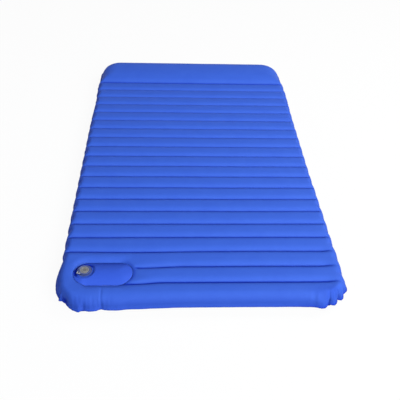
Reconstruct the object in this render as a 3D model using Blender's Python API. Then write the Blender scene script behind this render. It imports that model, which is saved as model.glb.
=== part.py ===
# Inflatable camping sleeping pad with a built-in foot pump, blown up and lying on its back.
# Metres, +Z up. The foot end with the pump is at -Y, the raised head end at +Y.
# The origin lies under the middle of the pad, on the ground.

import math

import bmesh
import bpy
from mathutils import Matrix, Vector

# Pad: one front tube, a row of equal tubes and a wide head tube, side by side along Y
TUBE_COUNT = 19
TUBE_PITCH = 0.0883
FRONT_TUBE = 0.100
HEAD_TUBE = 0.262
PAD_WIDTH = 1.200
TUBE_HEIGHT = 0.100
HEAD_HEIGHT = 0.138
WELD_HEIGHT = 0.050
SEAM_DEPTH = 0.015
CORNER_RADIUS = 0.085
SIDE_DEPTH = 0.040
FRONT_CROWN = 0.045
HEAD_CROWN = 0.162
HEAD_SIDE_DEPTH = 0.100
SKIN_THICKNESS = 0.0006
GAP = 0.0003

# Baffles: cross strips with a weld flange along each edge
BAFFLE_THICKNESS = 0.0005
BAFFLE_FLANGE = 0.010
BAFFLE_END = 0.045

# Foot pump: a long round-ended cover over a fabric cup, near the left side of the second tube
PUMP_LENGTH = 0.247
PUMP_WIDTH = 0.126
PUMP_SIDE = 0.067
PUMP_RIM_DEPTH = 0.015
PUMP_GROOVE = 0.018
PATCH_MARGIN = 0.006
PUMP_CROWN = 0.025
PUMP_SHOULDER = 0.040
PUMP_CLEARANCE = 0.0006
COVER_THICKNESS = 0.0008
COVER_EDGE_INSET = 0.004
COVER_RIM_INSET = 0.010
COVER_TOP_INSET = 0.022
CHAMBER_WALL = 0.0008
CHAMBER_FLANGE = 0.008
CHAMBER_FLOOR = 0.024
BAFFLE_TO_PUMP = 0.014
FOAM_INSET = 0.007
FOAM_TO_COVER = 0.0075

# Two-stage valve in the left end of the cover
VALVE_BACK = 0.015
VALVE_ASIDE = 0.008
VALVE_SEAT_RISE = 0.013
VALVE_FLAT = 0.033
DIMPLE_RADIUS = 0.046
VALVE_TURN = math.radians(32)
FLANGE_RADIUS = 0.031
FLANGE_THICKNESS = 0.0014
NECK_RADIUS = 0.0185
NECK_WALL = 0.0018
NECK_DEPTH = 0.011
PLUG_RIM_RADIUS = 0.0215
PLUG_RIM_THICKNESS = 0.0016
PLUG_CLEARANCE = 0.0004
PLUG_TAPER = 0.0008
PLUG_DEPTH = 0.009
PLUG_BORE = 0.011
CAP_RADIUS = 0.025
CAP_THICKNESS = 0.0034
CAP_EDGE = 0.0010
CAP_DISH = 0.0006
CAP_CLEARANCE = 0.0006
CAP_BOSS_DEPTH = 0.003
CAP_BOSS_WALL = 0.0016
CAP_TAB_LENGTH = 0.010
CAP_TAB_WIDTH = 0.014
CAP_TAB_THICKNESS = 0.0016
PLUG_TAB_REACH = 0.0295
PLUG_TAB_WIDTH = 0.009
HINGE_REACH = 0.0278
BARREL_RADIUS = 0.0013
STRAP_WIDTH = 0.011
STRAP_THICKNESS = 0.0014
EAR_WIDTH = 0.0026
FLAP_LAP = 0.0022
FLAP_THICKNESS = 0.0008
FLAP_ROOT_LENGTH = 0.004
FLAP_ROOT_WIDTH = 0.010

# Outlet valve in the floor of the cup, straight below the other valve
OUTLET_BORE = 0.010
OUTLET_WALL = 0.0028
OUTLET_FLANGE_RADIUS = 0.018
OUTLET_FLANGE_THICKNESS = 0.0012
OUTLET_NECK = 0.0016

# Shares of a tube's depth, or of a rounded edge's, at which the surface has a row of points
TOP_ROW_SHARES = (0.18, 0.5, 0.82)
BOTTOM_ROW_SHARES = (0.3, 0.7)
EDGE_ROW_SHARES = (0.0, 0.12, 0.42, 1.0)
SIDE_COLUMN_SHARES = (0.0, 0.28, 1.0)
FALL_ROW_SHARES = (0.55, 1.0)
HEAD_RISE_SHARES = (0.22, 0.55, 1.0)

# Points round the curved pieces
PUMP_POINTS = 36
TURN_POINTS = 40
SMALL_TURN_POINTS = 28

# Places worked out from the sizes above
PAD_LENGTH = FRONT_TUBE + TUBE_COUNT * TUBE_PITCH + HEAD_TUBE
FOOT_Y = -PAD_LENGTH / 2
HEAD_Y = PAD_LENGTH / 2
FIRST_SEAM_Y = FOOT_Y + FRONT_TUBE
LAST_SEAM_Y = HEAD_Y - HEAD_TUBE
EDGE_RISE = SKIN_THICKNESS + GAP / 2
RIM_Z = TUBE_HEIGHT - PUMP_RIM_DEPTH
PUMP_RADIUS = PUMP_WIDTH / 2
PUMP_RUN = PUMP_LENGTH - PUMP_WIDTH
PUMP_X = -PAD_WIDTH / 2 + PUMP_SIDE + PUMP_LENGTH / 2
PUMP_Y = FIRST_SEAM_Y + TUBE_PITCH / 2
PUMP_RIGHT = PUMP_X + PUMP_LENGTH / 2
VALVE_X = PUMP_X - PUMP_RUN / 2 - VALVE_BACK
VALVE_Y = PUMP_Y + VALVE_ASIDE
FOAM_WELL = DIMPLE_RADIUS + FOAM_INSET
FLOOR_BOTTOM = CHAMBER_FLOOR - CHAMBER_WALL


def clear_scene():
    for thing in list(bpy.data.objects):
        bpy.data.objects.remove(thing, do_unlink=True)


def material(name, colour, roughness):
    made = bpy.data.materials.new(name)
    made.use_nodes = True
    shader = made.node_tree.nodes["Principled BSDF"]
    shader.inputs["Base Color"].default_value = (*colour, 1)
    shader.inputs["Roughness"].default_value = roughness
    shader.inputs["Metallic"].default_value = 0
    return made


def finish_object(name, bm, finish, smooth_angle=40):
    """A named object from a bmesh, shaded smooth except at its sharp edges."""
    mesh = bpy.data.meshes.new(name)
    bm.to_mesh(mesh)
    bm.free()
    mesh.shade_smooth()
    mesh.set_sharp_from_angle(angle=math.radians(smooth_angle))
    mesh.materials.append(finish)
    thing = bpy.data.objects.new(name, mesh)
    bpy.context.scene.collection.objects.link(thing)
    return thing


def empty(name, parent, place, turn=0):
    """An empty on a joint's axis, placed in its parent's frame."""
    thing = bpy.data.objects.new(name, None)
    bpy.context.scene.collection.objects.link(thing)
    thing.parent = parent
    thing.location = place
    thing.rotation_euler = (0, 0, turn)
    return thing


def hang(thing, parent, origin):
    """Moves a piece's origin to a point of its own mesh and parents it there."""
    thing.data.transform(Matrix.Translation(-Vector(origin)))
    thing.parent = parent


def tool_object(name, bm):
    """A helper shape that only serves a Boolean."""
    mesh = bpy.data.meshes.new(name)
    bm.to_mesh(mesh)
    bm.free()
    thing = bpy.data.objects.new(name, mesh)
    bpy.context.scene.collection.objects.link(thing)
    thing.hide_render = True
    thing.display_type = "WIRE"
    return thing


def combine(target, tool, operation):
    """Joins a helper to a piece, or cuts it away."""
    step = target.modifiers.new(tool.name, "BOOLEAN")
    step.operation = operation
    step.solver = "EXACT"
    step.object = tool


def thicken(thing, thickness):
    """Gives a sheet its thickness, on the inner side."""
    step = thing.modifiers.new("thickness", "SOLIDIFY")
    step.thickness = thickness
    step.offset = -1
    step.use_rim = True


def smooth_step(value):
    held = min(max(value, 0), 1)
    return held * held * (3 - 2 * held)


def round_share(share):
    """Height of a quarter circle of radius 1 at this share of its width."""
    held = min(max(share, 0), 1)
    return math.sqrt(1 - (1 - held) ** 2)


def arch_share(share):
    """Height of a flat arch of width 1 and height 1 at this share of its width."""
    return 1 - (2 * share - 1) ** 2


# Rows of the skins along the pad, each a place along Y and a height over the weld plane


def edge_rows(edge_y, inward, depth, height):
    return [(edge_y + inward * depth * share, height * round_share(share)) for share in EDGE_ROW_SHARES]


def top_rows():
    crown = TUBE_HEIGHT - WELD_HEIGHT
    seam = crown - SEAM_DEPTH
    rows = edge_rows(FOOT_Y, 1, FRONT_CROWN, crown)
    for share in FALL_ROW_SHARES:
        fall = arch_share(0.5 + share / 2)
        y = FOOT_Y + FRONT_CROWN + share * (FRONT_TUBE - FRONT_CROWN)
        rows.append((y, seam + fall * (crown - seam)))
    for tube in range(TUBE_COUNT):
        start = FIRST_SEAM_Y + tube * TUBE_PITCH
        for share in TOP_ROW_SHARES:
            rows.append((start + share * TUBE_PITCH, seam + arch_share(share) * (crown - seam)))
        rows.append((start + TUBE_PITCH, seam))
    head = HEAD_HEIGHT - WELD_HEIGHT
    for share in HEAD_RISE_SHARES[:-1]:
        rows.append((LAST_SEAM_Y + share * HEAD_CROWN, seam + round_share(share) * (head - seam)))
    rows += reversed(edge_rows(HEAD_Y, -1, HEAD_TUBE - HEAD_CROWN, head))
    return rows


def bottom_rows():
    seam = WELD_HEIGHT - SEAM_DEPTH
    rows = edge_rows(FOOT_Y, 1, FRONT_CROWN, WELD_HEIGHT)
    rows.append((FIRST_SEAM_Y - BOTTOM_ROW_SHARES[0] * TUBE_PITCH, WELD_HEIGHT))
    rows.append((FIRST_SEAM_Y, seam))
    for tube in range(TUBE_COUNT):
        start = FIRST_SEAM_Y + tube * TUBE_PITCH
        for share in BOTTOM_ROW_SHARES:
            rows.append((start + share * TUBE_PITCH, WELD_HEIGHT))
        rows.append((start + TUBE_PITCH, seam))
    rows.append((LAST_SEAM_Y + BOTTOM_ROW_SHARES[0] * TUBE_PITCH, WELD_HEIGHT))
    rows += reversed(edge_rows(HEAD_Y, -1, SIDE_DEPTH, WELD_HEIGHT))
    return rows


def half_width(y):
    """Half the pad's width at y, less at the rounded corners."""
    to_end = min(y - FOOT_Y, HEAD_Y - y)
    if to_end >= CORNER_RADIUS:
        return PAD_WIDTH / 2
    return PAD_WIDTH / 2 - CORNER_RADIUS + CORNER_RADIUS * round_share(to_end / CORNER_RADIUS)


def side_depth(y):
    """How far in from a side the upper skin is at its full height. The head tube's ends are rounder."""
    grown = smooth_step((y - LAST_SEAM_Y) / HEAD_SIDE_DEPTH)
    return SIDE_DEPTH + grown * (HEAD_SIDE_DEPTH - SIDE_DEPTH)


def flat_sheet(rows, depth_at):
    """A flat grid with a row of points for each of the rows, and its columns near both sides."""
    bm = bmesh.new()
    sides = len(SIDE_COLUMN_SHARES)
    columns = 2 * sides - 1
    bmesh.ops.create_grid(bm, x_segments=columns, y_segments=len(rows) - 1, size=1)
    bm.verts.ensure_lookup_table()
    order = sorted(bm.verts, key=lambda v: (round(v.co.y, 5), round(v.co.x, 5)))
    for index, vert in enumerate(order):
        row, column = divmod(index, columns + 1)
        y = rows[row][0]
        inset = depth_at(y) * SIDE_COLUMN_SHARES[min(column, columns - column)]
        side = -1 if column < sides else 1
        vert.co = (side * (half_width(y) - inset), y, 0)
    return bm


def row_height(rows, y):
    """Height over the weld plane at y, read from the rows."""
    for (low_y, low), (high_y, high) in zip(rows, rows[1:]):
        if y <= high_y:
            return low + (high - low) * max(y - low_y, 0) / (high_y - low_y)
    return rows[-1][1]


def side_share(x, y, depth):
    return round_share((half_width(y) - abs(x)) / depth)


def pump_distance(x, y, run=PUMP_RUN):
    """Distance outside the pump's outline, negative inside it. x and y are from the pump's middle."""
    return math.hypot(max(abs(x) - run / 2, 0), y) - PUMP_RADIUS


def top_height(x, y, rows):
    """Height over the ground of the upper skin. Its first two seams fade out at the pump."""
    crown = TUBE_HEIGHT - WELD_HEIGHT
    height = row_height(rows, y)
    beside_pump = FOOT_Y + FRONT_CROWN < y < FIRST_SEAM_Y + 1.5 * TUBE_PITCH
    if beside_pump:
        fade = smooth_step((x - PUMP_X) / (PUMP_RIGHT - PUMP_X))
        height = crown + (height - crown) * fade
    z = WELD_HEIGHT + max(height * side_share(x, y, side_depth(y)), EDGE_RISE)
    distance = pump_distance(x - PUMP_X, y - PUMP_Y)
    if distance < PUMP_GROOVE:
        z = RIM_Z + (z - RIM_Z) * smooth_step(distance / PUMP_GROOVE)
    return z


# Outlines in the XY plane


def stadium_points(run, radius, count, centre=(0, 0)):
    """Points round a shape with straight sides and two half-round ends."""
    points = []
    half = count // 2
    for end in (1, -1):
        for step in range(half):
            angle = math.pi * (step / (half - 1) - 0.5) + (math.pi if end < 0 else 0)
            x = end * run / 2 + radius * math.cos(angle)
            points.append((centre[0] + x, centre[1] + radius * math.sin(angle)))
    return points


def circle_points(radius, count, centre=(0, 0)):
    turns = [2 * math.pi * step / count for step in range(count)]
    return [(centre[0] + radius * math.cos(a), centre[1] + radius * math.sin(a)) for a in turns]


def add_loop(bm, points, z=0):
    """A closed loop of edges through these points."""
    verts = [bm.verts.new((x, y, z)) for x, y in points]
    return [bm.edges.new((verts[i - 1], verts[i])) for i in range(len(verts))]


def upward(bm):
    """Turns every face of a flat sheet to look up."""
    bm.normal_update()
    bmesh.ops.reverse_faces(bm, faces=[face for face in bm.faces if face.normal.z < 0])


def extruded(points, low, high):
    """A closed prism over an outline."""
    bm = bmesh.new()
    edges = add_loop(bm, points, low)
    bmesh.ops.triangle_fill(bm, edges=edges, use_beauty=True)
    upward(bm)
    made = bmesh.ops.extrude_face_region(bm, geom=bm.faces[:], use_keep_orig=True)
    moved = [v for v in made["geom"] if isinstance(v, bmesh.types.BMVert)]
    bmesh.ops.translate(bm, vec=(0, 0, high - low), verts=moved)
    bmesh.ops.recalc_face_normals(bm, faces=bm.faces[:])
    return bm


def turned(profile, count):
    """A round piece: a closed outline of radius and height, spun about the Z axis."""
    bm = bmesh.new()
    verts = [bm.verts.new((radius, 0, z)) for radius, z in profile]
    edges = [bm.edges.new((verts[i - 1], verts[i])) for i in range(len(verts))]
    edges = [e for e in edges if max(v.co.x for v in e.verts) > 0]
    lone = [e for e in bm.edges if e not in edges]
    bmesh.ops.delete(bm, geom=lone, context="EDGES_FACES")
    outline = bm.verts[:] + bm.edges[:]
    bmesh.ops.spin(
        bm, geom=outline, cent=(0, 0, 0), axis=(0, 0, 1), angle=2 * math.pi, steps=count, use_merge=True
    )
    bmesh.ops.remove_doubles(bm, verts=bm.verts[:], dist=GAP / 100)
    bmesh.ops.recalc_face_normals(bm, faces=bm.faces[:])
    return bm


def box(low, high):
    bm = bmesh.new()
    bmesh.ops.create_cube(bm, size=1)
    size = Vector(high) - Vector(low)
    bmesh.ops.scale(bm, vec=size, verts=bm.verts)
    bmesh.ops.translate(bm, vec=(Vector(high) + Vector(low)) / 2, verts=bm.verts)
    return bm


def rod(radius, length, centre, count):
    """A round rod through centre, along the Y axis."""
    bm = bmesh.new()
    bmesh.ops.create_cone(bm, cap_ends=True, segments=count, radius1=radius, radius2=radius, depth=length)
    turn = Matrix.Rotation(math.pi / 2, 4, "X")
    bmesh.ops.transform(bm, matrix=Matrix.Translation(centre) @ turn, verts=bm.verts)
    return bm


# Skins and baffles


def build_top_skin(fabric):
    rows = top_rows()
    bm = flat_sheet(rows, side_depth)
    cut_x = PUMP_RIGHT + PUMP_GROOVE + PATCH_MARGIN
    low_y = FOOT_Y + FRONT_CROWN
    high_y = FIRST_SEAM_Y + 1.5 * TUBE_PITCH
    inner_x = PAD_WIDTH / 2 - SIDE_DEPTH

    def faces_between(low_x, high_x):
        found = []
        for face in bm.faces:
            middle = face.calc_center_median()
            if low_y < middle.y < high_y and low_x < middle.x < high_x:
                found.append(face)
        return found

    def beside_hole(vert):
        return abs(vert.co.x) < inner_x + GAP and low_y - GAP < vert.co.y < high_y + GAP

    across = faces_between(SIDE_DEPTH - inner_x, inner_x - SIDE_DEPTH)
    geom = across + [e for f in across for e in f.edges] + [v for f in across for v in f.verts]
    bmesh.ops.bisect_plane(bm, geom=list(dict.fromkeys(geom)), plane_co=(cut_x, 0, 0), plane_no=(1, 0, 0))
    bmesh.ops.delete(bm, geom=faces_between(-inner_x, cut_x), context="FACES")
    frame_edges = [e for e in bm.edges if e.is_boundary and all(beside_hole(v) for v in e.verts)]
    groove = add_loop(bm, stadium_points(PUMP_RUN, PUMP_RADIUS + PUMP_GROOVE, PUMP_POINTS, (PUMP_X, PUMP_Y)))
    hole = add_loop(bm, stadium_points(PUMP_RUN, PUMP_RADIUS, PUMP_POINTS, (PUMP_X, PUMP_Y)))
    bmesh.ops.triangle_fill(bm, edges=frame_edges + groove, use_beauty=True)
    bmesh.ops.bridge_loops(bm, edges=groove + hole)
    upward(bm)
    bmesh.ops.triangulate(bm, faces=bm.faces[:])
    for vert in bm.verts:
        vert.co.z = top_height(vert.co.x, vert.co.y, rows)
    skin = finish_object("top_skin", bm, fabric)
    thicken(skin, SKIN_THICKNESS)


def build_bottom_skin(fabric):
    rows = bottom_rows()
    bm = flat_sheet(rows, lambda y: SIDE_DEPTH)
    bmesh.ops.triangulate(bm, faces=bm.faces[:])
    upward(bm)
    bmesh.ops.reverse_faces(bm, faces=bm.faces[:])
    for vert in bm.verts:
        drop = row_height(rows, vert.co.y) * side_share(vert.co.x, vert.co.y, SIDE_DEPTH)
        vert.co.z = WELD_HEIGHT - max(drop, EDGE_RISE)
    skin = finish_object("bottom_skin", bm, fabric)
    thicken(skin, SKIN_THICKNESS)


def build_baffle(number, fabric):
    """An I-shaped strip between the two skins, under one seam."""
    y = FIRST_SEAM_Y + (number - 1) * TUBE_PITCH
    low = SEAM_DEPTH + SKIN_THICKNESS + GAP
    high = TUBE_HEIGHT - low
    flange = BAFFLE_FLANGE / 2
    web = BAFFLE_THICKNESS / 2
    section = [
        (-flange, low),
        (flange, low),
        (flange, low + BAFFLE_THICKNESS),
        (web, low + BAFFLE_THICKNESS),
        (web, high - BAFFLE_THICKNESS),
        (flange, high - BAFFLE_THICKNESS),
        (flange, high),
        (-flange, high),
        (-flange, high - BAFFLE_THICKNESS),
        (-web, high - BAFFLE_THICKNESS),
        (-web, low + BAFFLE_THICKNESS),
        (-flange, low + BAFFLE_THICKNESS),
    ]
    right = PAD_WIDTH / 2 - BAFFLE_END
    beside_pump = abs(y - PUMP_Y) < PUMP_RADIUS + CHAMBER_FLANGE
    left = PUMP_RIGHT + BAFFLE_TO_PUMP if beside_pump else -right
    bm = bmesh.new()
    verts = [bm.verts.new((left, y + across, z)) for across, z in section]
    face = bm.faces.new(verts)
    made = bmesh.ops.extrude_face_region(bm, geom=[face], use_keep_orig=True)
    moved = [v for v in made["geom"] if isinstance(v, bmesh.types.BMVert)]
    bmesh.ops.translate(bm, vec=(right - left, 0, 0), verts=moved)
    bmesh.ops.recalc_face_normals(bm, faces=bm.faces[:])
    finish_object(f"baffle_{number:02d}", bm, fabric)


# Foot pump


def dome_height(inset):
    return PUMP_CROWN * round_share(inset / PUMP_SHOULDER)


def cover_height(x, y):
    """Height of the cover over its rim, with the hollow that holds the valve. From the pump's middle."""
    dome = dome_height(-pump_distance(x, y) - PUMP_CLEARANCE)
    from_valve = math.hypot(x - (VALVE_X - PUMP_X), y - VALVE_ASIDE)
    share = smooth_step((from_valve - VALVE_FLAT) / (DIMPLE_RADIUS - VALVE_FLAT))
    return VALVE_SEAT_RISE + (dome - VALVE_SEAT_RISE) * share


def build_cover(fabric, pump):
    bm = bmesh.new()
    valve = (VALVE_X - PUMP_X, VALVE_ASIDE)
    insets = (PUMP_CLEARANCE, COVER_EDGE_INSET, COVER_RIM_INSET)
    outlines = [stadium_points(PUMP_RUN, PUMP_RADIUS - inset, PUMP_POINTS) for inset in insets]
    rim, edge, inner = (add_loop(bm, outline) for outline in outlines)
    top_left = valve[0] + DIMPLE_RADIUS
    top_radius = PUMP_RADIUS - COVER_TOP_INSET
    top_run = PUMP_RUN / 2 - (top_left + top_radius)
    top_centre = (PUMP_RUN / 2 - top_run / 2, 0)
    shoulder = add_loop(bm, stadium_points(top_run, top_radius, PUMP_POINTS, top_centre))
    crown = add_loop(bm, stadium_points(top_run, PUMP_RADIUS - PUMP_SHOULDER, PUMP_POINTS, top_centre))
    flat = add_loop(bm, circle_points(VALVE_FLAT, TURN_POINTS, valve))
    hole = add_loop(bm, circle_points(NECK_RADIUS + GAP, TURN_POINTS, valve))
    bmesh.ops.bridge_loops(bm, edges=rim + edge)
    bmesh.ops.bridge_loops(bm, edges=edge + inner)
    bmesh.ops.bridge_loops(bm, edges=shoulder + crown)
    bmesh.ops.bridge_loops(bm, edges=flat + hole)
    bmesh.ops.triangle_fill(bm, edges=inner + shoulder + flat, use_beauty=True)
    bmesh.ops.triangle_fill(bm, edges=crown, use_beauty=True)
    upward(bm)
    bmesh.ops.triangulate(bm, faces=bm.faces[:])
    for vert in bm.verts:
        vert.co.z = cover_height(vert.co.x, vert.co.y)
    cover = finish_object("pump_cover", bm, fabric)
    thicken(cover, COVER_THICKNESS)
    cover.parent = pump


def build_chamber(fabric):
    """A fabric cup with a flange under the upper skin and the outlet hole in its floor."""
    top = RIM_Z - SKIN_THICKNESS - GAP
    outer = extruded(stadium_points(PUMP_RUN, PUMP_RADIUS + CHAMBER_WALL, PUMP_POINTS), FLOOR_BOTTOM, top)
    chamber = finish_object("pump_chamber", outer, fabric)
    chamber.location = (PUMP_X, PUMP_Y, 0)
    flange = stadium_points(PUMP_RUN, PUMP_RADIUS + CHAMBER_FLANGE, PUMP_POINTS)
    brim = tool_object("chamber_flange_tool", extruded(flange, top - CHAMBER_WALL, top))
    inside = extruded(stadium_points(PUMP_RUN, PUMP_RADIUS, PUMP_POINTS), CHAMBER_FLOOR, TUBE_HEIGHT)
    hollow = tool_object("chamber_hollow_tool", inside)
    outlet = circle_points(OUTLET_BORE + OUTLET_WALL + GAP, TURN_POINTS, (VALVE_X - PUMP_X, VALVE_ASIDE))
    drain = tool_object("chamber_outlet_tool", extruded(outlet, 0, TUBE_HEIGHT))
    for tool, operation in ((brim, "UNION"), (hollow, "DIFFERENCE"), (drain, "DIFFERENCE")):
        tool.parent = chamber
        combine(chamber, tool, operation)


def build_foam(foam_finish):
    """A foam block that follows the cover's underside, open round the valve."""
    bm = bmesh.new()
    valve = (VALVE_X - PUMP_X, VALVE_ASIDE)
    low = CHAMBER_FLOOR + GAP
    insets = (FOAM_INSET, FOAM_INSET, COVER_TOP_INSET, PUMP_SHOULDER)
    loops = []
    for index, inset in enumerate(insets):
        z = RIM_Z + dome_height(inset) - COVER_THICKNESS - FOAM_TO_COVER if index else low
        loops.append(add_loop(bm, stadium_points(PUMP_RUN, PUMP_RADIUS - inset, PUMP_POINTS), z))
    for lower, upper in zip(loops, loops[1:]):
        bmesh.ops.bridge_loops(bm, edges=lower + upper)
    bmesh.ops.triangle_fill(bm, edges=loops[0], use_beauty=True)
    bmesh.ops.triangle_fill(bm, edges=loops[-1], use_beauty=True)
    bmesh.ops.recalc_face_normals(bm, faces=bm.faces[:])
    foam = finish_object("pump_foam", bm, foam_finish)
    foam.location = (PUMP_X, PUMP_Y, 0)
    round_valve = circle_points(FOAM_WELL, TURN_POINTS, valve)
    well = tool_object("foam_well_tool", extruded(round_valve, 0, HEAD_HEIGHT))
    well.parent = foam
    combine(foam, well, "DIFFERENCE")


# Valve, in its own frame: z = 0 on the cover's flat, +X towards the cap's hinge

FLANGE_TOP = GAP + FLANGE_THICKNESS
RIM_LOW = FLANGE_TOP + GAP
RIM_HIGH = RIM_LOW + PLUG_RIM_THICKNESS
CAP_LOW = RIM_HIGH + GAP
CAP_HIGH = CAP_LOW + CAP_THICKNESS
PLUG_LOW = RIM_LOW - PLUG_DEPTH
NECK_BORE = NECK_RADIUS - NECK_WALL
CAP_AXIS_Z = RIM_HIGH + GAP + BARREL_RADIUS
FLAP_AXIS_X = PLUG_BORE + FLAP_LAP
FLAP_TOP = PLUG_LOW - GAP
FLAP_AXIS_Z = FLAP_TOP - FLAP_THICKNESS / 2


def build_flange(plastic, valve):
    profile = [
        (NECK_BORE, FLANGE_TOP),
        (NECK_BORE, -NECK_DEPTH),
        (NECK_RADIUS, -NECK_DEPTH),
        (NECK_RADIUS, GAP),
        (FLANGE_RADIUS, GAP),
        (FLANGE_RADIUS, FLANGE_TOP),
    ]
    flange = finish_object("valve_flange", turned(profile, TURN_POINTS), plastic)
    flange.parent = valve


def build_plug(plastic, axis):
    """The ring that pulls straight out of the neck, with a finger tab and the ears of the cap's hinge."""
    outer = NECK_BORE - PLUG_CLEARANCE
    profile = [
        (PLUG_BORE, RIM_HIGH),
        (PLUG_BORE, PLUG_LOW),
        (outer - PLUG_TAPER, PLUG_LOW),
        (outer, RIM_LOW),
        (PLUG_RIM_RADIUS, RIM_LOW),
        (PLUG_RIM_RADIUS, RIM_HIGH),
    ]
    plug = finish_object("valve_plug", turned(profile, TURN_POINTS), plastic)
    start = (NECK_BORE + PLUG_RIM_RADIUS) / 2
    near = HINGE_REACH - BARREL_RADIUS
    far = HINGE_REACH + BARREL_RADIUS
    ear_inner = STRAP_WIDTH / 2 + GAP
    ear_outer = ear_inner + EAR_WIDTH
    ear_high = CAP_AXIS_Z + BARREL_RADIUS
    half_tab = PLUG_TAB_WIDTH / 2
    parts = {
        "tab": box((-half_tab, start, RIM_LOW), (half_tab, PLUG_TAB_REACH, RIM_HIGH)),
        "arm": box((start, -ear_outer, RIM_LOW), (far, ear_outer, RIM_HIGH)),
        "near_ear": box((near, -ear_outer, RIM_LOW), (far, -ear_inner, ear_high)),
        "far_ear": box((near, ear_inner, RIM_LOW), (far, ear_outer, ear_high)),
    }
    add_parts(plug, parts)
    plug.parent = axis


def build_cap(plastic, hinge):
    boss = PLUG_BORE - CAP_CLEARANCE
    boss_low = CAP_LOW - CAP_BOSS_DEPTH
    profile = [
        (0, CAP_HIGH - CAP_DISH),
        (0, CAP_LOW + CAP_DISH),
        (boss - CAP_BOSS_WALL, CAP_LOW + CAP_DISH),
        (boss - CAP_BOSS_WALL, boss_low),
        (boss, boss_low),
        (boss, CAP_LOW),
        (CAP_RADIUS - CAP_EDGE, CAP_LOW),
        (CAP_RADIUS, CAP_LOW + CAP_EDGE),
        (CAP_RADIUS, CAP_HIGH - CAP_EDGE),
        (CAP_RADIUS - CAP_EDGE, CAP_HIGH),
        (CAP_RADIUS - FLANGE_THICKNESS - CAP_EDGE, CAP_HIGH),
        (CAP_RADIUS - FLANGE_THICKNESS - 2 * CAP_EDGE, CAP_HIGH - CAP_DISH),
    ]
    cap = finish_object("valve_cap", turned(profile, TURN_POINTS), plastic)
    half = STRAP_WIDTH / 2
    strap_start = CAP_RADIUS - CAP_EDGE - STRAP_THICKNESS
    strap_low = CAP_AXIS_Z - STRAP_THICKNESS / 2
    strap_high = strap_low + STRAP_THICKNESS
    tab_low = CAP_LOW + CAP_EDGE
    tab_round = CAP_TAB_WIDTH / 2
    tab_middle = (tab_round - CAP_RADIUS - CAP_TAB_LENGTH / 2, 0)
    tab_outline = stadium_points(CAP_TAB_LENGTH, tab_round, SMALL_TURN_POINTS, tab_middle)
    parts = {
        "strap": box((strap_start, -half, strap_low), (HINGE_REACH, half, strap_high)),
        "barrel": rod(BARREL_RADIUS, STRAP_WIDTH, (HINGE_REACH, 0, CAP_AXIS_Z), SMALL_TURN_POINTS),
        "tab": extruded(tab_outline, tab_low, tab_low + CAP_TAB_THICKNESS),
    }
    origin = (HINGE_REACH, 0, CAP_AXIS_Z)
    add_parts(cap, parts)
    hang_with_parts(cap, hinge, origin)


def add_parts(thing, parts):
    for name, bm in parts.items():
        tool = tool_object(f"{thing.name}_{name}_tool", bm)
        tool.parent = thing
        combine(thing, tool, "UNION")


def hang_with_parts(thing, parent, origin):
    """Moves the origin of a piece and of its helpers to the joint's axis."""
    for tool in thing.children:
        tool.data.transform(Matrix.Translation(-Vector(origin)))
    hang(thing, parent, origin)


def build_flap(name, radius, top, silicone, hinge):
    """A one-way flap: a thin disc with a square root that ends at its hinge."""
    disc = extruded(circle_points(radius, SMALL_TURN_POINTS), top - FLAP_THICKNESS, top)
    flap = finish_object(name, disc, silicone)
    half = FLAP_ROOT_WIDTH / 2
    root = box((radius - FLAP_ROOT_LENGTH, -half, top - FLAP_THICKNESS), (radius, half, top))
    add_parts(flap, {"root": root})
    hang_with_parts(flap, hinge, (radius, 0, top - FLAP_THICKNESS / 2))


def build_outlet_seat(plastic, valve_below):
    outer = OUTLET_BORE + OUTLET_WALL
    low = FLOOR_BOTTOM - OUTLET_NECK
    brim = CHAMBER_FLOOR + GAP
    profile = [
        (OUTLET_BORE, brim + OUTLET_FLANGE_THICKNESS),
        (OUTLET_BORE, low),
        (outer, low),
        (outer, brim),
        (OUTLET_FLANGE_RADIUS, brim),
        (OUTLET_FLANGE_RADIUS, brim + OUTLET_FLANGE_THICKNESS),
    ]
    seat = finish_object("outlet_seat", turned(profile, TURN_POINTS), plastic)
    seat.parent = valve_below


def build():
    clear_scene()
    fabric = material("blue_coated_fabric", (0.045, 0.105, 0.60), 0.55)
    inner_fabric = material("inner_coated_fabric", (0.07, 0.12, 0.45), 0.6)
    foam_finish = material("open_cell_foam", (0.75, 0.74, 0.68), 0.95)
    grey_plastic = material("grey_soft_plastic", (0.17, 0.155, 0.14), 0.45)
    dark_plastic = material("dark_soft_plastic", (0.05, 0.05, 0.055), 0.5)
    silicone = material("silicone_rubber", (0.55, 0.55, 0.52), 0.4)

    build_top_skin(fabric)
    build_bottom_skin(fabric)
    for number in range(1, TUBE_COUNT + 2):
        build_baffle(number, inner_fabric)

    build_chamber(inner_fabric)
    build_foam(foam_finish)
    pump = empty("pump_stroke_axis", None, (PUMP_X, PUMP_Y, RIM_Z))
    build_cover(fabric, pump)

    valve = empty("valve_axis", pump, (VALVE_X - PUMP_X, VALVE_ASIDE, VALVE_SEAT_RISE), VALVE_TURN)
    build_flange(grey_plastic, valve)
    plug_axis = empty("plug_pull_axis", valve, (0, 0, 0))
    build_plug(dark_plastic, plug_axis)
    build_cap(grey_plastic, empty("cap_hinge_axis", plug_axis, (HINGE_REACH, 0, CAP_AXIS_Z)))
    flap_hinge = empty("intake_flap_axis", plug_axis, (FLAP_AXIS_X, 0, FLAP_AXIS_Z))
    build_flap("intake_flap", FLAP_AXIS_X, FLAP_TOP, silicone, flap_hinge)

    below = empty("outlet_axis", None, (VALVE_X, VALVE_Y, 0), VALVE_TURN)
    build_outlet_seat(grey_plastic, below)
    outlet_top = FLOOR_BOTTOM - OUTLET_NECK - GAP
    outlet_radius = OUTLET_BORE + FLAP_LAP
    outlet_hinge = empty("outlet_flap_axis", below, (outlet_radius, 0, outlet_top - FLAP_THICKNESS / 2))
    build_flap("outlet_flap", outlet_radius, outlet_top, silicone, outlet_hinge)


build()
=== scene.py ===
import math

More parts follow.
